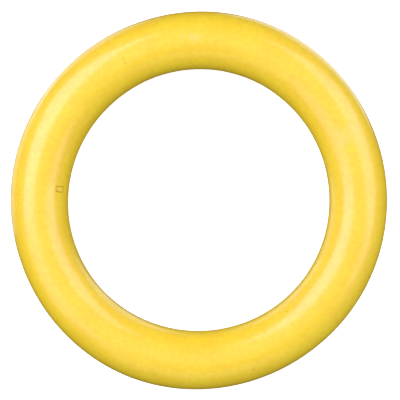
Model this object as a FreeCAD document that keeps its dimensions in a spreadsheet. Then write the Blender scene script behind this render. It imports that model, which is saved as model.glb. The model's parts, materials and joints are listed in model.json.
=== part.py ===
import FreeCAD, Part
import math
import os
import Sketcher

# A rigid ring buoy. Two half shells of 3 mm polyethylene are welded edge to edge at mid-height,
# and the cavity is filled with rigid foam through an oval opening in the upper shell, while the
# air leaves by a round one in the lower shell. A snap-in plug closes each opening flush with the
# shell. Millimetres. The origin is the centre of the ring, and +Z is the axis of its hole.
#
# Both shells come from one profile. Each is drawn with its edge on the XY plane and its crown up,
# and the lower one is then turned over about Y. In a shell's own frame its opening is on the -X
# side, tilted from the crown towards the hole.

DRIVING = {
    # the ring and its wall
    "outer_diameter": 720,
    "inner_diameter": 500,
    "weld_band_height": 8,
    "wall": 3,
    # the flange inside each shell's edge, where the halves are welded
    "flange_width": 6.5,
    "flange_height": 6,
    "flange_taper": 45,
    "tongue_width": 2,
    "tongue_height": 2,
    "tongue_clearance": 0.1,
    "seam_chamfer": 0.6,
    # where both openings are: away from the crown, and round the ring
    "opening_tilt": 50,
    "opening_bearing": -4.6,
    # the heads of the two plugs
    "filler_head_length": 17,
    "filler_head_width": 8.5,
    "vent_head_diameter": 8,
    # the seat round each head, the boss behind it and the plug's snap-in foot
    "moat_width": 2,
    "seat_depth": 2.2,
    "ledge_width": 1.75,
    "boss_margin": 2,
    "boss_depth": 3,
    "slot_clearance": 0.2,
    "barb_lip": 0.5,
    "barb_length": 4,
    "barb_taper": -20,
    "foam_gap": 0.2,
}

RING_RADIUS = "(Sizes.outer_diameter + Sizes.inner_diameter) / 4"
HALF_WIDTH = "(Sizes.outer_diameter - Sizes.inner_diameter) / 4"
SECTION_RADIUS = f"sqrt(({HALF_WIDTH}) ^ 2 + (Sizes.weld_band_height / 2) ^ 2)"
CAVITY_RADIUS = f"({SECTION_RADIUS} - Sizes.wall)"
BOSS_FLOOR = "(Sizes.wall + Sizes.boss_depth)"

# how much larger each outline is than the head of its plug, all round
SEAT = "Sizes.moat_width"
SLOT = "(Sizes.slot_clearance - Sizes.ledge_width)"
SHANK = "-Sizes.ledge_width"
BARB = "(Sizes.slot_clearance + Sizes.barb_lip - Sizes.ledge_width)"
BOSS = "(Sizes.moat_width + Sizes.boss_margin)"
FOAM_POCKET = "(Sizes.moat_width + Sizes.boss_margin + Sizes.foam_gap)"

PROUD = 1  # how far a cut or a head starts outside the surface, before it is trimmed
TRIM_RING = 5  # the thickness of the ring of material that trims a plug's head flush
UPPER, LOWER = 1, -1
START, END, CENTRE = 1, 2, 3  # a sketch element's points
X_AXIS = -1  # a sketch's own axis, and its origin as that axis's first point

doc = FreeCAD.newDocument("ring_buoy")
sheet = doc.addObject("Spreadsheet::Sheet", "Sizes")
for row, (alias, number) in enumerate(DRIVING.items(), 1):
    sheet.set(f"A{row}", str(number))
    sheet.setAlias(f"A{row}", alias)
doc.recompute()


# ---- sketches ----


def value(expression):
    """The number that an expression of the sheet's cells gives."""
    return float(sheet.evalExpression(expression))


def new_body(label):
    body = doc.addObject("PartDesign::Body", label)
    body.Label = label
    return body


def new_sketch(body, name, plane):
    """A sketch on one of the body's own origin planes."""
    sketch = body.newObject("Sketcher::SketchObject", name)
    support = next(item for item in body.Origin.OriginFeatures if item.Role == plane)
    sketch.AttachmentSupport = [(support, "")]
    sketch.MapMode = "FlatFace"
    return sketch


def opening_sketch(body, name, depth, side=UPPER):
    """A sketch square to an opening's axis, at a depth below the shell's outer surface.

    On the upper side the opening is at -X, and on the lower side it is at +X.
    """
    sketch = new_sketch(body, name, "XY_Plane")
    sketch.AttachmentOffset = FreeCAD.Placement(
        FreeCAD.Vector(), FreeCAD.Rotation(FreeCAD.Vector(0, 1, 0), value("Sizes.opening_tilt"))
    )
    reach = f"({SECTION_RADIUS} - {depth})"
    along_x = f"({RING_RADIUS} - sin(Sizes.opening_tilt) * {reach})"
    along_z = f"cos(Sizes.opening_tilt) * {reach}"
    half_turn = 0 if side == UPPER else 180
    sketch.setExpression(".AttachmentOffset.Base.x", f"{-side} * {along_x}")
    sketch.setExpression(".AttachmentOffset.Base.z", f"{side} * {along_z}")
    sketch.setExpression(".AttachmentOffset.Rotation.Angle", f"Sizes.opening_tilt + {half_turn}")
    return sketch


def dimension(sketch, kind, *points, name, size):
    """A named dimension that the sheet drives."""
    start = math.radians(value(size)) if kind == "Angle" else value(size)
    number = sketch.addConstraint(Sketcher.Constraint(kind, *points, start))
    sketch.renameConstraint(number, name)
    sketch.setExpression(f"Constraints.{name}", size)


def rule(sketch, kind, *elements):
    sketch.addConstraint(Sketcher.Constraint(kind, *elements))


def line(sketch, start, end):
    start_point = FreeCAD.Vector(*start, 0)
    return sketch.addGeometry(Part.LineSegment(start_point, FreeCAD.Vector(*end, 0)))


def arc(sketch, centre, radius, first, last):
    """An arc drawn anticlockwise from one angle to another, in degrees."""
    circle = Part.Circle(FreeCAD.Vector(*centre, 0), FreeCAD.Vector(0, 0, 1), radius)
    return sketch.addGeometry(Part.ArcOfCircle(circle, math.radians(first), math.radians(last)))


def circle(sketch, centre, radius):
    return sketch.addGeometry(
        Part.Circle(FreeCAD.Vector(*centre, 0), FreeCAD.Vector(0, 0, 1), radius)
    )


def rectangle(sketch, name, left, bottom, width, height):
    """A rectangle that stands on the seam plane or hangs from it. Its sizes are expressions."""
    x0, y0 = value(left), value(bottom)
    x1, y1 = x0 + value(width), y0 + value(height)
    corners = [(x0, y0), (x1, y0), (x1, y1), (x0, y1)]
    sides = [line(sketch, corners[i], corners[(i + 1) % 4]) for i in range(4)]
    for i, side in enumerate(sides):
        rule(sketch, "Coincident", side, END, sides[(i + 1) % 4], START)
        rule(sketch, "Vertical" if i % 2 else "Horizontal", side)
    dimension(sketch, "DistanceX", X_AXIS, START, sides[0], START, name=f"{name}_left", size=left)
    dimension(sketch, "DistanceX", sides[0], START, sides[0], END, name=f"{name}_width", size=width)
    dimension(sketch, "DistanceY", sides[1], START, sides[1], END, name=f"{name}_high", size=height)
    on_seam = sides[2] if y0 < 0 else sides[0]
    rule(sketch, "PointOnObject", on_seam, START, X_AXIS)


def cavity_edge(sketch):
    """The cavity's half profile: flange face, taper, wall, taper, flange face, rim to hole.

    Returns the first and the last element. Both start or end on the seam plane.
    """
    middle = (value(RING_RADIUS), 0)
    radius = value(CAVITY_RADIUS)
    half = value(HALF_WIDTH) - value("Sizes.flange_width")
    high = value("Sizes.flange_height")
    offset = half - high  # along a taper of 45 degrees, x is always this much more than y
    meet = (math.sqrt(2 * radius**2 - offset**2) - offset) / 2
    lean = math.degrees(math.asin(meet / radius))

    rim_face = line(sketch, (middle[0] + half, 0), (middle[0] + half, high))
    rim_taper = line(sketch, (middle[0] + half, high), (middle[0] + offset + meet, meet))
    wall = arc(sketch, middle, radius, lean, 180 - lean)
    hole_taper = line(sketch, (middle[0] - offset - meet, meet), (middle[0] - half, high))
    hole_face = line(sketch, (middle[0] - half, high), (middle[0] - half, 0))
    chain = [rim_face, rim_taper, wall, hole_taper, hole_face]
    for one, next_one in zip(chain, chain[1:]):
        rule(sketch, "Coincident", one, END, next_one, START)
    rule(sketch, "PointOnObject", rim_face, START, X_AXIS)
    rule(sketch, "PointOnObject", wall, CENTRE, X_AXIS)
    rule(sketch, "PointOnObject", hole_face, END, X_AXIS)
    rule(sketch, "Vertical", rim_face)
    rule(sketch, "Vertical", hole_face)
    rule(sketch, "Equal", rim_face, hole_face)
    dimension(sketch, "DistanceX", X_AXIS, START, wall, CENTRE, name="ring_radius", size=RING_RADIUS)
    dimension(sketch, "Radius", wall, name="cavity_radius", size=CAVITY_RADIUS)
    dimension(
        sketch, "DistanceY", rim_face, START, rim_face, END,
        name="flange_height", size="Sizes.flange_height",
    )
    dimension(
        sketch, "DistanceX", X_AXIS, START, rim_face, START,
        name="rim_flange", size="Sizes.outer_diameter / 2 - Sizes.flange_width",
    )
    dimension(
        sketch, "DistanceX", X_AXIS, START, hole_face, END,
        name="hole_flange", size="Sizes.inner_diameter / 2 + Sizes.flange_width",
    )
    dimension(sketch, "Angle", rim_taper, name="rim_taper", size="Sizes.flange_taper")
    dimension(sketch, "Angle", hole_taper, name="hole_taper", size="-Sizes.flange_taper")
    return rim_face, hole_face


def outline(sketch, fitting, growth):
    """A plug's outline, grown all round: an obround for the filler, a circle for the vent."""
    if fitting == "vent":
        size = f"Sizes.vent_head_diameter / 2 + {growth}"
        ring = circle(sketch, (0, 0), value(size))
        rule(sketch, "Coincident", ring, CENTRE, X_AXIS, START)
        dimension(sketch, "Radius", ring, name="radius", size=size)
        return
    size = f"Sizes.filler_head_width / 2 + {growth}"
    spacing = "Sizes.filler_head_length - Sizes.filler_head_width"
    radius, reach = value(size), value(spacing) / 2
    right = arc(sketch, (reach, 0), radius, -90, 90)
    top = line(sketch, (reach, radius), (-reach, radius))
    left = arc(sketch, (-reach, 0), radius, 90, 270)
    bottom = line(sketch, (-reach, -radius), (reach, -radius))
    chain = [right, top, left, bottom]
    for i, one in enumerate(chain):
        rule(sketch, "Tangent", one, END, chain[(i + 1) % 4], START)
    rule(sketch, "Symmetric", left, CENTRE, right, CENTRE, X_AXIS, START)
    rule(sketch, "Equal", left, right)
    rule(sketch, "Horizontal", top)
    dimension(sketch, "Radius", right, name="radius", size=size)
    dimension(sketch, "DistanceX", left, CENTRE, right, CENTRE, name="spacing", size=spacing)


# ---- features ----


def turn(body, kind, name, sketch):
    """A Revolution or a Groove all the way round the ring's axis."""
    feature = body.newObject(f"PartDesign::{kind}", name)
    feature.Profile = sketch
    feature.ReferenceAxis = (sketch, ["V_Axis"])
    feature.Angle = 360
    sketch.Visibility = False
    return feature


def push(body, kind, name, sketch, length, inward=False):
    """A Pad or a Pocket. A Pocket goes inward by itself, and a Pad goes inward if asked to."""
    feature = body.newObject(f"PartDesign::{kind}", name)
    feature.Profile = sketch
    feature.Reversed = inward
    feature.setExpression("Length", length)
    sketch.Visibility = False
    return feature


def seam_edges(shape):
    """The names of the circles where a shell's outside meets the seam plane."""
    radii = [value("Sizes.inner_diameter / 2"), value("Sizes.outer_diameter / 2")]
    names = []
    for number, edge in enumerate(shape.Edges, 1):
        curve = edge.Curve
        if isinstance(curve, Part.Circle) and abs(curve.Center.z) < 1e-6:
            if min(abs(curve.Radius - radius) for radius in radii) < 1e-6:
                names.append(f"Edge{number}")
    return names


def key_rings(body, name, grown, sign):
    """The sketch of the two key rings, as a tongue below the seam or as a groove above it."""
    sketch = new_sketch(body, name, "XZ_Plane")
    width = f"(Sizes.tongue_width + 2 * {grown})"
    height = f"(Sizes.tongue_height + {grown})"
    inset = f"(Sizes.flange_width - {width}) / 2"
    bottom = f"-{height}" if sign < 0 else "0"
    hole_left = f"Sizes.inner_diameter / 2 + {inset}"
    rim_left = f"Sizes.outer_diameter / 2 - {inset} - {width}"
    rectangle(sketch, "hole", hole_left, bottom, width, height)
    rectangle(sketch, "rim", rim_left, bottom, width, height)
    return sketch


def add_seat(body, fitting):
    """The boss inside a shell, the seat for a plug's head and the slot for its foot."""
    sketch = opening_sketch(body, "boss_outline", BOSS_FLOOR)
    outline(sketch, fitting, BOSS)
    push(body, "Pad", "boss", sketch, "Sizes.boss_depth + Sizes.wall / 3")
    sketch = opening_sketch(body, "seat_outline", f"(-{PROUD})")
    outline(sketch, fitting, SEAT)
    push(body, "Pocket", "seat", sketch, f"Sizes.seat_depth + {PROUD}")
    sketch = opening_sketch(body, "slot_outline", f"(-{PROUD})")
    outline(sketch, fitting, SLOT)
    push(body, "Pocket", "slot", sketch, f"{BOSS_FLOOR} + 2 * {PROUD}")


# ---- sub-parts ----


def make_shell(label, fitting, has_tongue):
    body = new_body(label)
    sketch = new_sketch(body, "profile", "XZ_Plane")
    rim_face, hole_face = cavity_edge(sketch)
    rim, hole = value("Sizes.outer_diameter / 2"), value("Sizes.inner_diameter / 2")
    flange = value("Sizes.flange_width")
    band = value("Sizes.weld_band_height / 2")
    lean = math.degrees(math.asin(band / value(SECTION_RADIUS)))
    rim_edge = line(sketch, (rim - flange, 0), (rim, 0))
    rim_band = line(sketch, (rim, 0), (rim, band))
    outside = arc(sketch, (value(RING_RADIUS), 0), value(SECTION_RADIUS), lean, 180 - lean)
    hole_band = line(sketch, (hole, band), (hole, 0))
    hole_edge = line(sketch, (hole, 0), (hole + flange, 0))
    rule(sketch, "Coincident", rim_face, START, rim_edge, START)
    chain = [rim_edge, rim_band, outside, hole_band, hole_edge]
    for one, next_one in zip(chain, chain[1:]):
        rule(sketch, "Coincident", one, END, next_one, START)
    rule(sketch, "Coincident", hole_edge, END, hole_face, END)
    rule(sketch, "PointOnObject", rim_edge, END, X_AXIS)
    rule(sketch, "PointOnObject", hole_edge, START, X_AXIS)
    rule(sketch, "PointOnObject", outside, CENTRE, X_AXIS)
    rule(sketch, "Vertical", rim_band)
    rule(sketch, "Vertical", hole_band)
    rule(sketch, "Equal", rim_band, hole_band)
    dimension(
        sketch, "DistanceX", X_AXIS, START, rim_edge, END,
        name="outer_radius", size="Sizes.outer_diameter / 2",
    )
    dimension(
        sketch, "DistanceX", X_AXIS, START, hole_edge, START,
        name="inner_radius", size="Sizes.inner_diameter / 2",
    )
    dimension(
        sketch, "DistanceY", rim_band, START, rim_band, END,
        name="band", size="Sizes.weld_band_height / 2",
    )
    half = turn(body, "Revolution", "half_ring", sketch)
    doc.recompute()

    chamfer = body.newObject("PartDesign::Chamfer", "seam_chamfer")
    chamfer.Base = (half, seam_edges(half.Shape))
    chamfer.setExpression("Size", "Sizes.seam_chamfer")
    if has_tongue:
        turn(body, "Revolution", "tongue", key_rings(body, "tongue_profile", "0", -1))
    else:
        sketch = key_rings(body, "groove_profile", "Sizes.tongue_clearance", 1)
        turn(body, "Groove", "groove", sketch)
    add_seat(body, fitting)
    return body


def make_foam_core():
    """The foam fills the cavity, and leaves a pocket round each boss and the plug's foot."""
    body = new_body("foam_core")
    sketch = new_sketch(body, "profile", "XZ_Plane")
    rim_face, hole_face = cavity_edge(sketch)
    middle = value(RING_RADIUS)
    half = value(HALF_WIDTH) - value("Sizes.flange_width")
    seam = line(sketch, (middle - half, 0), (middle + half, 0))
    rule(sketch, "Coincident", hole_face, END, seam, START)
    rule(sketch, "Coincident", seam, END, rim_face, START)
    turn(body, "Revolution", "half_core", sketch)
    doc.recompute()
    mirror = body.newObject("PartDesign::Mirrored", "whole_core")
    mirror.Originals = [body.Tip]
    mirror.MirrorPlane = (sketch, ["H_Axis"])
    body.Tip = mirror
    pocket_floor = f"{BOSS_FLOOR} + Sizes.barb_length + 2 * {PROUD}"
    for fitting, side in (("filler", UPPER), ("vent", LOWER)):
        sketch = opening_sketch(body, f"{fitting}_pocket_outline", f"(-{PROUD})", side)
        outline(sketch, fitting, FOAM_POCKET)
        push(body, "Pocket", f"{fitting}_pocket", sketch, pocket_floor)
    return body


def make_plug(label, fitting):
    """A head in the seat, a shank through the boss and a tapered barb that holds behind it."""
    body = new_body(label)
    sketch = opening_sketch(body, "head_outline", "Sizes.seat_depth")
    outline(sketch, fitting, "0")
    push(body, "Pad", "head", sketch, f"Sizes.seat_depth + {PROUD}")

    trim = new_sketch(body, "trim_profile", "XZ_Plane")
    beyond = f"{SECTION_RADIUS} + {TRIM_RING}"
    for name, size in (("surface", SECTION_RADIUS), ("beyond", beyond)):
        ring = circle(trim, (value(RING_RADIUS), 0), value(size))
        rule(trim, "PointOnObject", ring, CENTRE, X_AXIS)
        dimension(trim, "Radius", ring, name=name, size=size)
        dimension(
            trim, "DistanceX", X_AXIS, START, ring, CENTRE,
            name=f"{name}_centre", size=RING_RADIUS,
        )
    turn(body, "Groove", "flush_top", trim)

    sketch = opening_sketch(body, "shank_outline", "Sizes.seat_depth")
    outline(sketch, fitting, SHANK)
    push(body, "Pad", "shank", sketch, f"{BOSS_FLOOR} - Sizes.seat_depth", inward=True)
    sketch = opening_sketch(body, "barb_outline", BOSS_FLOOR)
    outline(sketch, fitting, BARB)
    barb = push(body, "Pad", "barb", sketch, "Sizes.barb_length", inward=True)
    barb.setExpression("TaperAngle", "Sizes.barb_taper")
    return body


ADDS = ("PartDesign::Pad", "PartDesign::Revolution", "PartDesign::Mirrored")
CUTS = ("PartDesign::Pocket", "PartDesign::Groove", "PartDesign::Chamfer")


def check(subparts):
    """Stop if a feature failed or did nothing, or if a sub-part is not one valid solid."""
    for item in doc.Objects:
        if "Invalid" in item.State or "Error" in item.State:
            raise RuntimeError(f"{item.Name} failed: {item.State}")
        if item.TypeId == "Sketcher::SketchObject" and not item.FullyConstrained:
            raise RuntimeError(f"{item.Name} is not fully constrained")
        base = getattr(item, "BaseFeature", None)
        if base and item.TypeId in ADDS + CUTS:
            change = item.Shape.Volume - base.Shape.Volume
            if change * (1 if item.TypeId in ADDS else -1) < 1:
                raise RuntimeError(f"{item.Name} changed the volume by {change:.1f} mm3")
    for body in subparts:
        shape = body.Shape
        if shape.isNull() or not shape.isValid() or len(shape.Solids) != 1:
            raise RuntimeError(f"{body.Label} is not one valid solid")


upper_shell = make_shell("upper_shell", "filler", has_tongue=True)
lower_shell = make_shell("lower_shell", "vent", has_tongue=False)
foam_core = make_foam_core()
filler_plug = make_plug("filler_plug", "filler")
vent_plug = make_plug("vent_plug", "vent")

BEARING = FreeCAD.Rotation(FreeCAD.Vector(0, 0, 1), value("Sizes.opening_bearing"))
TURNED_OVER = FreeCAD.Rotation(FreeCAD.Vector(0, 1, 0), 180)
for body in (upper_shell, foam_core, filler_plug):
    body.Placement = FreeCAD.Placement(FreeCAD.Vector(), BEARING)
for body in (lower_shell, vent_plug):
    body.Placement = FreeCAD.Placement(FreeCAD.Vector(), BEARING * TURNED_OVER)

doc.recompute()
SUBPARTS = [upper_shell, lower_shell, foam_core, filler_plug, vent_plug]
check(SUBPARTS)
os.makedirs("parts", exist_ok=True)
for body in SUBPARTS:
    body.Shape.exportStep(f"parts/{body.Label}.step")
    print(f"{body.Label}: {body.Shape.Volume:.1f} mm3")
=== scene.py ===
"""The ring buoy as it looks: two welded half shells of satin yellow plastic, their plugs and the foam.

Everything is in metres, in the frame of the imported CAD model, with +Z along the axis of the hole.
A place on the ring is given by its bearing, counterclockwise round the ring from +X, and by its
angle round the section, from 0 at the rim over 90 at the crown to 180 at the hole.
"""

import json
import math

import bmesh
import bpy
import numpy as np
from mathutils import Matrix, Vector


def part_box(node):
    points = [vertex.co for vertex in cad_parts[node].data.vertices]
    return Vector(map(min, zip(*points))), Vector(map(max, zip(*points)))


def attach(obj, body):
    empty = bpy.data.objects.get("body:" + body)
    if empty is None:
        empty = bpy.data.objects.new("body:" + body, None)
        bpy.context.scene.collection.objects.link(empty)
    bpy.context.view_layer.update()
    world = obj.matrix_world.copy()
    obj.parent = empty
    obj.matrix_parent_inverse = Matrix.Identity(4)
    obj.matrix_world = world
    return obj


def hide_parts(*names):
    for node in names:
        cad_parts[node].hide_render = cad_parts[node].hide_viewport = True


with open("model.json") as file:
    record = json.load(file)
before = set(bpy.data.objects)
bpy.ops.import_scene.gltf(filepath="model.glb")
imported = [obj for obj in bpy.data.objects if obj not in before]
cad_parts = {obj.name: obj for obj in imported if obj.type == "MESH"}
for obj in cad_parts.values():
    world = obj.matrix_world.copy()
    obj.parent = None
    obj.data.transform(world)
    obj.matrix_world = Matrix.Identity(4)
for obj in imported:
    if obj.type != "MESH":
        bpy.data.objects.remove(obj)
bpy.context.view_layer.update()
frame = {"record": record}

# ---- sizes, from the frame and, inside the wall, as the CAD model has them ----

MM = 0.001
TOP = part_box("upper_shell")[1]
WAIST = next(m for m in frame["record"]["mounts"] if m["name"] == "inner_waist")
OUTER_RADIUS = max(TOP.x, TOP.y)
INNER_RADIUS = WAIST["dims"]["r_mm"] * MM
RING_RADIUS = (OUTER_RADIUS + INNER_RADIUS) / 2
HALF_WIDTH = (OUTER_RADIUS - INNER_RADIUS) / 2
SECTION_RADIUS = TOP.z
BAND = math.sqrt(SECTION_RADIUS**2 - HALF_WIDTH**2)
WALL = 3 * MM
FLANGE_WIDTH = 6.5 * MM
FLANGE_HEIGHT = 6 * MM
TONGUE = 2 * MM
TONGUE_GAP = 0.1 * MM
SEAM_CHAMFER = 0.6 * MM

# the two openings: angle round the section, bearing, and the outline of each plug's head
OPENING_ANGLE = math.radians(90 + 50)
BEARING = math.radians(-4.6)
FILLER = {"straight": 8.5 * MM, "radius": 4.25 * MM}
VENT = {"straight": 0.0, "radius": 4.0 * MM}
MOAT = 2 * MM
SEAT_DEPTH = 1.7 * MM
LEDGE = 1.75 * MM
SLOT_GAP = 0.2 * MM
BOSS_MARGIN = 2 * MM
BOSS_DEPTH = 3 * MM
BARB_LIP = 0.5 * MM
BARB_LENGTH = 4 * MM
BARB_NARROWING = 1.45 * MM

# the mesh: cells round the ring and the section, and the finer patch round an opening
RING_CELLS = 540
OUTER_CELLS = 60
INNER_CELLS = 20
PATCH_REACH = (14 * MM, 10 * MM)  # along the section and along the ring
PATCH_CELLS = (24, 16)
CREASE = math.radians(30)  # an edge sharper than this stays sharp


# ---- the shape of the surface ----


def surface_point(along, across, depth):
    """A point under the outer surface, from an opening's centre, in a shell's own frame.

    along runs round the section towards the hole, and across runs round the ring.
    """
    angle = OPENING_ANGLE + along / SECTION_RADIUS
    bearing = math.pi + across / (RING_RADIUS + SECTION_RADIUS * math.cos(angle))
    reach = RING_RADIUS + (SECTION_RADIUS - depth) * math.cos(angle)
    height = (SECTION_RADIUS - depth) * math.sin(angle)
    return (reach * math.cos(bearing), reach * math.sin(bearing), height)


def refined(low, high, cells, focus, reach, fine_cells):
    """Steps from low to high: even ones, and finer ones within reach of the focus."""
    left, right = focus - reach, focus + reach
    share = (left - low) / ((left - low) + (high - right))
    left_cells = max(round(cells * share), 1)
    return np.concatenate([
        np.linspace(low, left, left_cells + 1)[:-1],
        np.linspace(left, right, fine_cells + 1),
        np.linspace(right, high, cells - left_cells + 1)[1:],
    ])


def out_of_round(bearing, waves):
    """The sum of a few waves round the ring: (number of lobes, height in mm, bearing of a peak)."""
    return sum(
        MM * height * np.cos(lobes * (bearing - math.radians(peak)))
        for lobes, height, peak in waves
    )


# a moulded ring is never quite round: this one is slightly oval, and a little squarish at the rim
# and three-cornered at the hole
RIM_LOBES = ((2, 1.5, 60), (4, 0.75, -20))
HOLE_LOBES = ((2, 1.0, 50), (3, 0.75, -35))
# and its skin has shallow, wide dents and swellings, each given as
# (waves round the ring, waves round the section, height in mm, phase)
SWELLS = (
    (9, 2, 0.06, 0.3),
    (14, 3, 0.05, 2.1),
    (23, 1, 0.04, 4.0),
    (31, 4, 0.03, 1.2),
    (5, 5, 0.05, 5.2),
)
SEAM_CALM = 0.2  # the swellings lift nothing at the seam, and fade in over this angle, in radians


def settle(mesh):
    """Move a mesh from the perfect ring to the moulded one. The cavity keeps its shape."""
    co = np.empty(len(mesh.vertices) * 3)
    mesh.vertices.foreach_get("co", co)
    co = co.reshape(-1, 3)
    reach = np.hypot(co[:, 0], co[:, 1])
    bearing = np.arctan2(co[:, 1], co[:, 0])
    across = reach - RING_RADIUS
    from_middle = np.hypot(across, co[:, 2])
    skin = np.clip((from_middle - (SECTION_RADIUS - WALL)) / WALL, 0, 1)
    rim_share = np.clip((1 + across / HALF_WIDTH) / 2, 0, 1)
    shift = rim_share * out_of_round(bearing, RIM_LOBES)
    shift += (1 - rim_share) * out_of_round(bearing, HOLE_LOBES)
    angle = np.arctan2(co[:, 2], across)
    swell = sum(
        MM * height * np.sin(round_ring * bearing + phase) * np.cos(round_section * angle + phase)
        for round_ring, round_section, height, phase in SWELLS
    )
    radial = skin * (shift + swell * np.cos(angle))
    co[:, 0] += radial * np.cos(bearing)
    co[:, 1] += radial * np.sin(bearing)
    from_seam = np.minimum(np.abs(angle), math.pi - np.abs(angle))
    co[:, 2] += skin * swell * np.sin(angle) * np.clip(from_seam / SEAM_CALM, 0, 1)
    mesh.vertices.foreach_set("co", co.ravel())


# ---- meshes ----


def seam_lip():
    """The rounded edge of a shell at the seam, as (inset, height) from the seam up to the band."""
    heights = SEAM_CHAMFER * np.array([0, 0.3, 0.55, 0.75, 0.95, 1.2, 1.5])
    insets = SEAM_CHAMFER * (1 - heights / heights[-1]) ** 1.5
    return list(zip(insets, heights))


def shell_section(has_tongue):
    """A half shell's closed section, as (across, height) from the middle of the tube, the angles
    of its outer and inner walls, and where its outer wall, its lip at the hole and its inner wall
    begin in that list."""
    lip = seam_lip()
    band_angle = math.asin(BAND / SECTION_RADIUS)
    reach = PATCH_REACH[0] / SECTION_RADIUS
    outer = refined(
        band_angle, math.pi - band_angle, OUTER_CELLS, OPENING_ANGLE, reach, PATCH_CELLS[0]
    )
    cavity = SECTION_RADIUS - WALL
    face = HALF_WIDTH - FLANGE_WIDTH
    offset = face - FLANGE_HEIGHT  # along the taper of 45 degrees, across is this much over height
    taper_top = (math.sqrt(2 * cavity**2 - offset**2) - offset) / 2
    lean = math.asin(taper_top / cavity)
    inner = refined(lean, math.pi - lean, INNER_CELLS, OPENING_ANGLE, reach, PATCH_CELLS[0])[::-1]

    width = TONGUE if has_tongue else TONGUE + 2 * TONGUE_GAP
    height = -TONGUE if has_tongue else TONGUE + TONGUE_GAP
    near = HALF_WIDTH - (FLANGE_WIDTH - width) / 2
    key = [(near, 0), (near, height), (near - width, height), (near - width, 0), (face, 0)]
    key.append((face, FLANGE_HEIGHT))

    points = [(HALF_WIDTH - inset, height) for inset, height in lip]
    starts = [len(points)]
    points += [(SECTION_RADIUS * math.cos(a), SECTION_RADIUS * math.sin(a)) for a in outer]
    starts.append(len(points))
    points += [(inset - HALF_WIDTH, height) for inset, height in reversed(lip)]
    points += [(-across, height) for across, height in key]
    starts.append(len(points))
    points += [(cavity * math.cos(a), cavity * math.sin(a)) for a in inner]
    points += [(across, height) for across, height in reversed(key)]
    return points, outer, inner, starts


def bearings():
    """The bearings of the mesh's columns, in a shell's own frame, with the opening at 180 degrees."""
    crown = RING_RADIUS + SECTION_RADIUS * math.cos(OPENING_ANGLE)
    steps = refined(0, 2 * math.pi, RING_CELLS, math.pi, PATCH_REACH[1] / crown, PATCH_CELLS[1])
    return steps[:-1]


def patch_edge(columns, rows):
    """The places (column, row) round a patch's edge, in order."""
    return (
        [(c, rows[0]) for c in columns[:-1]]
        + [(columns[-1], r) for r in rows[:-1]]
        + [(c, rows[-1]) for c in columns[:0:-1]]
        + [(columns[0], r) for r in rows[:0:-1]]
    )


def edge_places():
    """The edge of the patch round an opening, as (across, along) on the outer surface."""
    along = np.linspace(-PATCH_REACH[0], PATCH_REACH[0], PATCH_CELLS[0] + 1)
    across = np.linspace(-PATCH_REACH[1], PATCH_REACH[1], PATCH_CELLS[1] + 1)
    return patch_edge(list(across), list(along))


def outline_ring(fitting, grown, depth):
    """One ring of points round an opening: the plug's outline, grown, at a depth."""
    half = fitting["straight"] / 2
    ring = []
    for across, along in edge_places():
        foot = min(max(along, -half), half)
        away = Vector((along - foot, across)).normalized() * (fitting["radius"] + grown)
        ring.append(surface_point(foot + away[0], away[1], depth))
    return ring


def bridge(faces, one, two):
    """Quads between two closed loops of vertex numbers."""
    for k in range(len(one)):
        following = (k + 1) % len(one)
        faces.append((one[k], one[following], two[following], two[k]))


def mesh_object(name, points, faces, place, shaded_vertices):
    """A smooth-shaded mesh with consistent normals and sharp edges, settled into the real shape.

    The last argument gives how much painted shade darkens the vertices that lie in grooves, along the
    seam and in the plugs' moats.
    """
    mesh = bpy.data.meshes.new(name)
    mesh.from_pydata(points, [], faces)
    mesh.transform(place)
    # painted shade in the grooves, kept on the vertices as an attribute
    groove_shade = np.zeros(len(points), dtype=np.float32)
    for vertex, amount in shaded_vertices.items():
        groove_shade[vertex] = amount
    mesh.attributes.new("groove_shade", "FLOAT", "POINT").data.foreach_set("value", groove_shade)
    build = bmesh.new()
    build.from_mesh(mesh)
    bmesh.ops.remove_doubles(build, verts=build.verts, dist=1e-6)
    bmesh.ops.recalc_face_normals(build, faces=build.faces)
    build.to_mesh(mesh)
    build.free()
    settle(mesh)
    mesh.shade_smooth()
    mesh.set_sharp_from_angle(angle=CREASE)
    made = bpy.data.objects.new(name, mesh)
    bpy.context.scene.collection.objects.link(made)
    return made


# rounded profiles, in mm: a seat's rim and the corner of its floor, past the seat's edge and deep
SEAT_RIM = ((0.5, 0), (0.32, 0.03), (0.16, 0.1), (0.05, 0.24), (0, 0.45))
SEAT_FLOOR = ((0, -0.35), (-0.1, -0.12), (-0.35, 0))
# and the gate mark in a head's middle, out from there and deep, and the head's edge, past it and deep
GATE_MARK = ((0, 0.35), (0.35, 0.33), (0.7, 0.2), (1.0, 0.06), (1.3, 0.0))
HEAD_EDGE = ((-0.8, 0.0), (-0.45, 0.03), (-0.2, 0.11), (-0.06, 0.25), (0, 0.5))
HEAD_BULGE = 0.05 * MM
MOAT_SHADE = 0.45  # the painted shade in a plug's moat, as a share of the painted shade at the seam
SEAT_SHADE_DEPTH = 0.2 * MM  # and how deep it starts on the seat's rim and on the head's edge
HEAD_SHADE_DEPTH = 0.4 * MM


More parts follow.
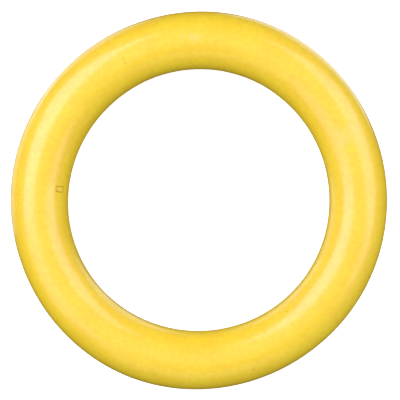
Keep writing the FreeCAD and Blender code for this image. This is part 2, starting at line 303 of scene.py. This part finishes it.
def make_shell(name, fitting, has_tongue, place):
    """A half shell with its cavity, its flanges, and a seat, slot and boss for a plug."""
    section, outer, inner, starts = shell_section(has_tongue)
    turns = bearings()
    rows, columns = len(section), len(turns)
    points = [
        ((RING_RADIUS + across) * math.cos(turn), (RING_RADIUS + across) * math.sin(turn), height)
        for turn in turns
        for across, height in section
    ]

    def number(column, row):
        return column % columns * rows + row % rows

    # the patch: the same columns in both walls, and the fine rows of each
    middle = int(np.argmin(np.abs(turns - math.pi)))
    half_across = PATCH_CELLS[1] // 2
    patch_columns = list(range(middle - half_across, middle + half_across + 1))
    reach = PATCH_REACH[0] / SECTION_RADIUS
    outer_first = starts[0] + int(np.argmin(np.abs(outer - (OPENING_ANGLE - reach))))
    inner_first = starts[2] + int(np.argmin(np.abs(inner - (OPENING_ANGLE - reach))))
    outer_rows = list(range(outer_first, outer_first + PATCH_CELLS[0] + 1))
    inner_rows = list(range(inner_first, inner_first - PATCH_CELLS[0] - 1, -1))
    open_rows = set(outer_rows[:-1]) | set(inner_rows[1:])

    faces = [
        (number(c, r), number(c + 1, r), number(c + 1, r + 1), number(c, r + 1))
        for c in range(columns)
        for r in range(rows)
        if not (c in patch_columns[:-1] and r in open_rows)
    ]

    loops = [[number(c, r) for c, r in patch_edge(patch_columns, outer_rows)]]
    rings = [(MOAT + MM * past, MM * deep) for past, deep in SEAT_RIM]
    rings += [(MOAT + MM * past, SEAT_DEPTH + MM * rise) for past, rise in SEAT_FLOOR]
    shaded_vertices = {}
    slot = SLOT_GAP - LEDGE
    under_boss = WALL + BOSS_DEPTH
    boss = MOAT + BOSS_MARGIN
    rings += [(0.5 * slot, SEAT_DEPTH), (slot, SEAT_DEPTH), (slot, under_boss)]
    rings += [(boss, under_boss), (boss, WALL)]
    for grown, depth in rings:
        loops.append(list(range(len(points), len(points) + len(edge_places()))))
        points += outline_ring(fitting, grown, depth)
        # the rings down in the moat get painted shade
        if depth > SEAT_SHADE_DEPTH:
            shaded_vertices.update(dict.fromkeys(loops[-1], MOAT_SHADE))
    loops.append([number(c, r) for c, r in patch_edge(patch_columns, inner_rows)])
    for one, two in zip(loops, loops[1:]):
        bridge(faces, one, two)
    # painted shade along the seam: the three rows nearest it, at the rim and at the hole
    seam_rows = [0, 1, 2, starts[1] + 4, starts[1] + 5, starts[1] + 6]
    shaded_vertices.update({number(c, r): 1.0 for c in range(columns) for r in seam_rows})
    return mesh_object(name, points, faces, place, shaded_vertices)


def make_plug(name, fitting, place):
    """A flush head with a rounded edge and a gate mark, a shank, and a tapered barb behind the boss."""
    radius = fitting["radius"]
    under_boss = WALL + BOSS_DEPTH
    barb = SLOT_GAP + BARB_LIP - LEDGE
    rings = [(MM * out - radius, MM * deep) for out, deep in GATE_MARK]
    rings.append((-0.45 * radius, -HEAD_BULGE))
    rings += [(MM * past, MM * deep) for past, deep in HEAD_EDGE]
    rings += [(0, SEAT_DEPTH), (-LEDGE, SEAT_DEPTH), (-LEDGE, under_boss), (barb, under_boss)]
    rings += [(barb - BARB_NARROWING, under_boss + BARB_LENGTH), (-radius, under_boss + BARB_LENGTH)]
    points, faces, loops, shaded_vertices = [], [], [], {}
    for grown, depth in rings:
        loops.append(list(range(len(points), len(points) + len(edge_places()))))
        points += outline_ring(fitting, grown, depth)
        # the head's edge, where it goes down into the moat, gets painted shade
        if depth > HEAD_SHADE_DEPTH:
            shaded_vertices.update(dict.fromkeys(loops[-1], MOAT_SHADE))
    for one, two in zip(loops, loops[1:]):
        bridge(faces, one, two)
    return mesh_object(name, points, faces, place, shaded_vertices)


UPPER_PLACE = Matrix.Rotation(BEARING, 4, "Z")
LOWER_PLACE = UPPER_PLACE @ Matrix.Rotation(math.pi, 4, "Y")
upper = make_shell("upper_half_shell", FILLER, True, UPPER_PLACE)
lower = make_shell("lower_half_shell", VENT, False, LOWER_PLACE)
filler = make_plug("filler_plug_head", FILLER, UPPER_PLACE)
vent = make_plug("vent_plug_head", VENT, LOWER_PLACE)
for piece, replaced, slot in (
    (upper, "upper_shell", "shell"),
    (lower, "lower_shell", "shell"),
    (filler, "filler_plug", "plug"),
    (vent, "vent_plug", "plug"),
):
    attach(piece, "root")
    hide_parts(replaced)

# ---- materials ----


def node(tree, kind, inputs, output=0, **settings):
    """Add a shader node, set or link its inputs by name or number, and give one of its outputs."""
    made = tree.nodes.new("ShaderNode" + kind)
    for name, value in settings.items():
        setattr(made, name, value)
    for key, value in inputs.items():
        if isinstance(value, bpy.types.NodeSocket):
            tree.links.new(value, made.inputs[key])
        else:
            made.inputs[key].default_value = value
    return made.outputs[output]


def math_node(tree, operation, *values):
    """A Math node's result."""
    return node(tree, "Math", dict(enumerate(values)), operation=operation)


def ranged(tree, value, start, end, low, high):
    """The value's span from start to end, mapped smoothly onto low to high."""
    spans = {"Value": value, "From Min": start, "From Max": end, "To Min": low, "To Max": high}
    return node(tree, "MapRange", spans, interpolation_type="SMOOTHSTEP")


def blended(tree, factor, one, two):
    """A mix of two colours."""
    sockets = {0: factor, 6: one, 7: two}
    return node(tree, "Mix", sockets, output=2, data_type="RGBA")


def noise(tree, place, size, detail=3.0, roughness=0.5):
    """Soft noise whose lumps are about this size in metres."""
    inputs = {"Vector": place, "Scale": 1 / size, "Detail": detail, "Roughness": roughness}
    return node(tree, "TexNoise", inputs)


def new_material(name):
    """A material, its node tree, its shader, and the place on the object in metres."""
    material = bpy.data.materials.new(name)
    material.use_nodes = True
    tree = material.node_tree
    shader = tree.nodes["Principled BSDF"]
    place = node(tree, "TexCoord", {}, output=3)
    return material, tree, shader, place


def mark_cover(tree, place, marks):
    """How much a set of round marks covers: (bearing, angle round the section, radius in mm)."""
    cover = 0.0
    for bearing, angle, radius in marks:
        turn, lean = math.radians(bearing), math.radians(angle)
        reach = RING_RADIUS + SECTION_RADIUS * math.cos(lean)
        centre = (reach * math.cos(turn), reach * math.sin(turn), SECTION_RADIUS * math.sin(lean))
        gap = node(tree, "VectorMath", {0: place, 1: centre}, output=1, operation="DISTANCE")
        spot = ranged(tree, gap, 0.2 * MM * radius, MM * radius, 1.0, 0.0)
        cover = math_node(tree, "MAXIMUM", cover, spot)
    return cover


# the marks on the ring: bearing and angle round the section, in degrees, and radius in mm
DIRT = ((118, 94, 4.4), (118.2, 102, 3.4), (-51.5, 133, 3.8), (-72, 58, 4.0))
DIRT += ((-104.2, 55, 2.4), (-104.6, 53, 2.4), (-105.1, 52, 2.4))
# rubbed spots, paler than the plastic round them
RUBS_AND_SHEEN = ((48.8, 110, 8.0), (47.6, 111, 6.0), (-44.5, 151, 9.0), (113, 95, 9.0), (-46, 146, 6.0))
# painted sheen: three large pale patches on the crown, standing in for a blotchy highlight
RUBS_AND_SHEEN += ((24, 92, 30.0), (91, 88, 18.0), (95, 84, 14.0))
DIRT_STRENGTH = 0.33
RUB_AND_SHEEN_STRENGTH = 0.4

YELLOW = (0.85, 0.735, 0.02, 1)
DEEP_YELLOW = (0.81, 0.59, 0.005, 1)
# the pale yellow of rubbed spots and of the pale patches of painted sheen
PALE_RUB_AND_SHEEN_YELLOW = (0.96, 0.73, 0.17, 1)
# the brown of the dirt specks, also used for the painted shade in the grooves
DIRT_AND_SHADE_BROWN = (0.36, 0.23, 0.01, 1)
PLUG_YELLOW = (0.855, 0.745, 0.035, 1)
DEEP_PLUG_YELLOW = (0.815, 0.635, 0.015, 1)
CREAM = (0.80, 0.70, 0.48, 1)
DEEP_CREAM = (0.70, 0.58, 0.34, 1)
# painted shade inside the foam's voids
VOID_SHADE_BROWN = (0.42, 0.31, 0.15, 1)


def shell_plastic(name, yellow, deep_yellow):
    """Satin moulded plastic: mottled colour, a faint orange peel, a fine grain, rubs and dirt, pale
    patches of painted sheen, and painted shade in the grooves.
    """
    material, tree, shader, place = new_material(name)
    # clouds and fine mottling of the deeper yellow
    cloud = ranged(tree, noise(tree, place, 60 * MM, 3), 0.35, 0.65, 0.0, 1.0)
    grain = noise(tree, place, 2.2 * MM, 4, 0.7)
    mottle = ranged(tree, noise(tree, place, 9 * MM, 4, 0.65), 0.3, 0.7, 0.0, 1.0)
    depth = math_node(tree, "MULTIPLY_ADD", cloud, 0.45, mottle)
    depth = math_node(tree, "MULTIPLY", depth, 0.5)
    colour = blended(tree, depth, yellow, deep_yellow)

    # rubbed places and pale patches of painted sheen, with ragged edges, and long fine scuffs in worn
    # areas
    drift = node(tree, "TexNoise", {"Vector": place, "Scale": 60.0, "Detail": 3.0}, output=1)
    drift = node(tree, "VectorMath", {0: drift, 1: (0.5, 0.5, 0.5)}, operation="SUBTRACT")
    warp = {0: drift, 1: (0.05, 0.05, 0.05), 2: place}
    ragged = node(tree, "VectorMath", warp, operation="MULTIPLY_ADD")
    rubs_and_sheen = math_node(tree, "MULTIPLY", mark_cover(tree, ragged, RUBS_AND_SHEEN), RUB_AND_SHEEN_STRENGTH)
    stretch = {"Vector": ragged, "Rotation": (0.3, 0.5, 0.8), "Scale": (1, 14, 14)}
    streaks = node(tree, "Mapping", stretch)
    streaks = ranged(tree, noise(tree, streaks, 90 * MM, 2), 0.66, 0.74, 0.0, 1.0)
    worn = ranged(tree, noise(tree, place, 110 * MM, 2), 0.5, 0.62, 0.0, 0.3)
    scuffs = math_node(tree, "MULTIPLY", streaks, worn)
    rubs_and_sheen = math_node(tree, "MAXIMUM", rubs_and_sheen, scuffs)
    colour = blended(tree, rubs_and_sheen, colour, PALE_RUB_AND_SHEEN_YELLOW)

    # specks of dirt, and painted shade in the grooves: along the seam and in the plugs' moats
    dirty = math_node(tree, "MULTIPLY", mark_cover(tree, place, DIRT), DIRT_STRENGTH)
    groove_shade = node(tree, "Attribute", {}, output=2, attribute_name="groove_shade")
    painted_groove_darkening = math_node(tree, "MULTIPLY", groove_shade, ranged(tree, grain, 0.2, 0.6, 0.3, 0.6))
    colour = blended(tree, math_node(tree, "MAXIMUM", dirty, painted_groove_darkening), colour, DIRT_AND_SHADE_BROWN)
    tree.links.new(colour, shader.inputs["Base Color"])

    rough = ranged(tree, math_node(tree, "ADD", mottle, rubs_and_sheen), 0.0, 1.4, 0.42, 0.58)
    tree.links.new(rough, shader.inputs["Roughness"])

    # the welded band at the seam keeps the fine lines of the scraper
    height = node(tree, "SeparateXYZ", {"Vector": place}, output=2)
    off_seam = math_node(tree, "ABSOLUTE", height)
    in_band = ranged(tree, off_seam, 0.8 * BAND, BAND, 1.0, 0.0)
    lines = node(
        tree, "TexWave", {"Vector": place, "Scale": 160.0, "Distortion": 1.5, "Detail Scale": 2.0},
        output=1, bands_direction="Z",
    )
    lines = math_node(tree, "MULTIPLY", lines, in_band)

    # the relief, as (pattern, strength, height in mm), under a clear gloss that follows it
    peel = noise(tree, place, 24 * MM, 1)
    reliefs = ((peel, 0.7, 0.32), (grain, 0.3, 0.06), (lines, 0.25, 0.06), (scuffs, 0.3, 0.04))
    normal = None
    for pattern, strength, rise in reliefs:
        inputs = {"Height": pattern, "Strength": strength, "Distance": rise * MM}
        if normal is not None:
            inputs["Normal"] = normal
        normal = node(tree, "Bump", inputs)
    tree.links.new(normal, shader.inputs["Normal"])
    tree.links.new(normal, shader.inputs["Coat Normal"])
    shader.inputs["Coat Weight"].default_value = 1.0
    shader.inputs["Coat Roughness"].default_value = 0.21
    shader.inputs["Specular IOR Level"].default_value = 0.7
    shader.inputs["Specular Tint"].default_value = (1.0, 0.5, 1.0, 1)
    return material


def foam_material():
    """Rigid cream foam with fine cells and a few larger voids, which painted shade darkens."""
    material, tree, shader, place = new_material("foam_cells")
    cells = node(tree, "TexVoronoi", {"Vector": place, "Scale": 700.0})
    voids = node(tree, "TexVoronoi", {"Vector": place, "Scale": 90.0})
    hollow = ranged(tree, voids, 0.05, 0.2, 1.0, 0.0)
    tone = ranged(tree, noise(tree, place, 40 * MM, 4), 0.3, 0.7, 0.0, 1.0)
    colour = blended(tree, tone, CREAM, DEEP_CREAM)
    # painted shade: the larger voids are darkened with brown
    colour = blended(tree, math_node(tree, "MULTIPLY", hollow, 0.6), colour, VOID_SHADE_BROWN)
    tree.links.new(colour, shader.inputs["Base Color"])
    shader.inputs["Roughness"].default_value = 0.9
    relief = math_node(tree, "SUBTRACT", cells, hollow)
    bump = node(tree, "Bump", {"Height": relief, "Strength": 0.6, "Distance": 0.5 * MM})
    tree.links.new(bump, shader.inputs["Normal"])
    return material


def dress(thing, material):
    """Give a piece one material all over."""
    thing.data.materials.clear()
    thing.data.materials.append(material)


shell_yellow = shell_plastic("shell_yellow", YELLOW, DEEP_YELLOW)
plug_yellow = shell_plastic("plug_yellow", PLUG_YELLOW, DEEP_PLUG_YELLOW)
for piece in (upper, lower):
    dress(piece, shell_yellow)
for piece in (filler, vent):
    dress(piece, plug_yellow)
foam_cream = foam_material()
for slot in bpy.data.objects["foam_core"].material_slots:
    slot.material = foam_cream

# ---- floor, lights and camera ----

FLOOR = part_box("lower_shell")[0].z
FLOOR_SIZE = 30
GLOW = (0.65, 1.0)  # the light table's glow: weaker by the ring than it is far off
GLOW_REACH = (1.0, 3.5)
CAMERA_HEIGHT = 2.867
FAR = 3.6  # the distance of the big softboxes
WORLD_LIGHT = 0.35


def make_floor():
    """A pale light table. It glows, so it stays white, and the ring neither reflects it nor is lit
    by it."""
    bpy.ops.mesh.primitive_plane_add(size=FLOOR_SIZE, location=(0, 0, FLOOR))
    floor = bpy.context.object
    floor.name = "studio_floor"
    material, tree, shader, place = new_material("light_table")
    shader.inputs["Base Color"].default_value = (0.9, 0.9, 0.9, 1)
    shader.inputs["Roughness"].default_value = 0.9
    shader.inputs["Emission Color"].default_value = (1, 1, 1, 1)
    away = node(tree, "VectorMath", {0: place}, output=1, operation="LENGTH")
    glow = ranged(tree, away, *GLOW_REACH, *GLOW)
    tree.links.new(glow, shader.inputs["Emission Strength"])
    floor.data.materials.append(material)
    floor.visible_diffuse = False
    floor.visible_glossy = False
    floor.visible_shadow = False


def soft_light(name, place, size, power, colour=(1, 1, 1), roll=0, shine=True):
    """A rectangular softbox aimed at the ring, its width along X and its height along Y."""
    data = bpy.data.lights.new(name, "AREA")
    data.shape = "RECTANGLE"
    data.size, data.size_y = size
    data.energy = power
    data.color = colour
    light = bpy.data.objects.new(name, data)
    light.visible_glossy = shine
    back = Vector(place).normalized()
    right = Vector((0, 1, 0)).cross(back).normalized()
    turned = Matrix((right, back.cross(right), back)).transposed().to_4x4()
    turned = turned @ Matrix.Rotation(math.radians(roll), 4, "Z")
    light.matrix_world = Matrix.Translation(place) @ turned
    bpy.context.scene.collection.objects.link(light)


def from_above(tilt, bearing, distance):
    """The place at a tilt from straight up, a bearing, and a distance from the ring's centre."""
    tilt, bearing = math.radians(tilt), math.radians(bearing)
    level = distance * math.sin(tilt)
    return (level * math.cos(bearing), level * math.sin(bearing), distance * math.cos(tilt))


def make_camera():
    """A long lens straight above the ring, which looks down at its upper face."""
    data = bpy.data.cameras.new("camera")
    data.lens = 135
    data.sensor_width = 36
    camera = bpy.data.objects.new("camera", data)
    camera.location = (2.2 * MM, 0.8 * MM, CAMERA_HEIGHT)
    bpy.context.scene.collection.objects.link(camera)
    bpy.context.scene.camera = camera


# the big softboxes' glass is a little pink, which makes their highlights cream on the yellow
TINT = (1.0, 0.78, 1.0)
WARM = (1.0, 0.92, 0.8)
make_floor()
make_camera()
soft_light("left_softbox", from_above(45, 151, FAR), (2.9, 3.2), 101, TINT, roll=6)
soft_light("left_fill", from_above(46, 206, FAR), (2.9, 2.2), 29, TINT)
soft_light("right_softbox", from_above(52, 27, FAR), (2.8, 3.3), 68, TINT, roll=-14)
soft_light("right_fill", from_above(51, -16, FAR), (1.8, 1.4), 12, TINT)
soft_light("front_fill", from_above(58, -90, 3.0), (3.0, 1.6), 7)
soft_light("overhead_fill", from_above(0, 0, FAR), (2.6, 2.6), 9.0)
soft_light("low_fill", from_above(85, -28, 3.0), (2.5, 2.5), 12.5, WARM, shine=False)
soft_light("table_lamp_left", from_above(125, 129, 2.0), (1.2, 1.2), 4.4)
soft_light("table_lamp_side", from_above(124, 166, 2.0), (1.4, 1.4), 5)
soft_light("table_lamp_right", from_above(129, 52, 2.0), (1.4, 1.4), 7)

# the world is white behind everything, but gives a weaker light
world = bpy.data.worlds.new("studio")
world.use_nodes = True
background = world.node_tree.nodes["Background"]
to_camera = node(world.node_tree, "LightPath", {})
strength = ranged(world.node_tree, to_camera, 0.0, 1.0, WORLD_LIGHT, 1.0)
world.node_tree.links.new(strength, background.inputs["Strength"])
background.inputs["Color"].default_value = (1, 1, 1, 1)
bpy.context.scene.world = world
world.cycles_visibility.glossy = False
bpy.context.scene.view_settings.view_transform = "Standard"
